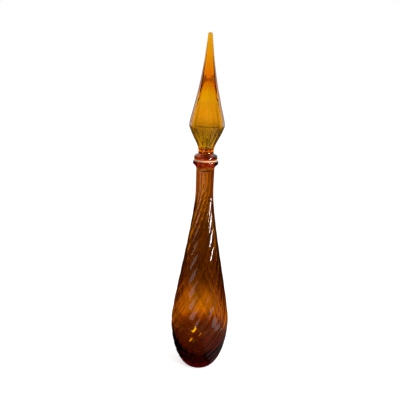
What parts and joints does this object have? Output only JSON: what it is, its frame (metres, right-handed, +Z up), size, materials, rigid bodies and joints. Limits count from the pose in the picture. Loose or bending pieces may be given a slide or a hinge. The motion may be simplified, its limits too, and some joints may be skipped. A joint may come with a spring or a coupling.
{
  "type": "carafe",
  "caption": "Tall blown glass carafe: swirl-ribbed teardrop body, long neck with flared lip, plastic seal ring and faceted spire stopper that turns and lifts out.",
  "frame": {"origin": "centre of the foot, on the surface that the carafe stands on", "axes": "+Z up along the axis of the bottle and stopper, -Y towards the viewer of the front"},
  "size_m": [0.0984, 0.0984, 0.56],
  "materials": {
    "amber_glass": "clear amber glass, fire polished",
    "honey_glass": "clear honey glass, fire polished",
    "seal_plastic": "soft beige plastic, slightly cloudy"
  },
  "bodies": {
    "bottle": {"bottle_body": "amber_glass", "bottle_shoulder": "amber_glass", "bottle_neck": "amber_glass"},
    "seal": {"seal": "seal_plastic"},
    "stopper": {"stopper": "honey_glass"}
  },
  "joints": [
    {"name": "stopper_lift", "type": "slide", "parent": "bottle", "child": "seal", "axis": [0, 0, 1], "range_m": [0, 0.06]},
    {"name": "stopper_turn", "type": "hinge", "parent": "seal", "child": "stopper", "pos_m": [0, 0, 0.3657], "axis": [0, 0, 1], "continuous": true}
  ]
}
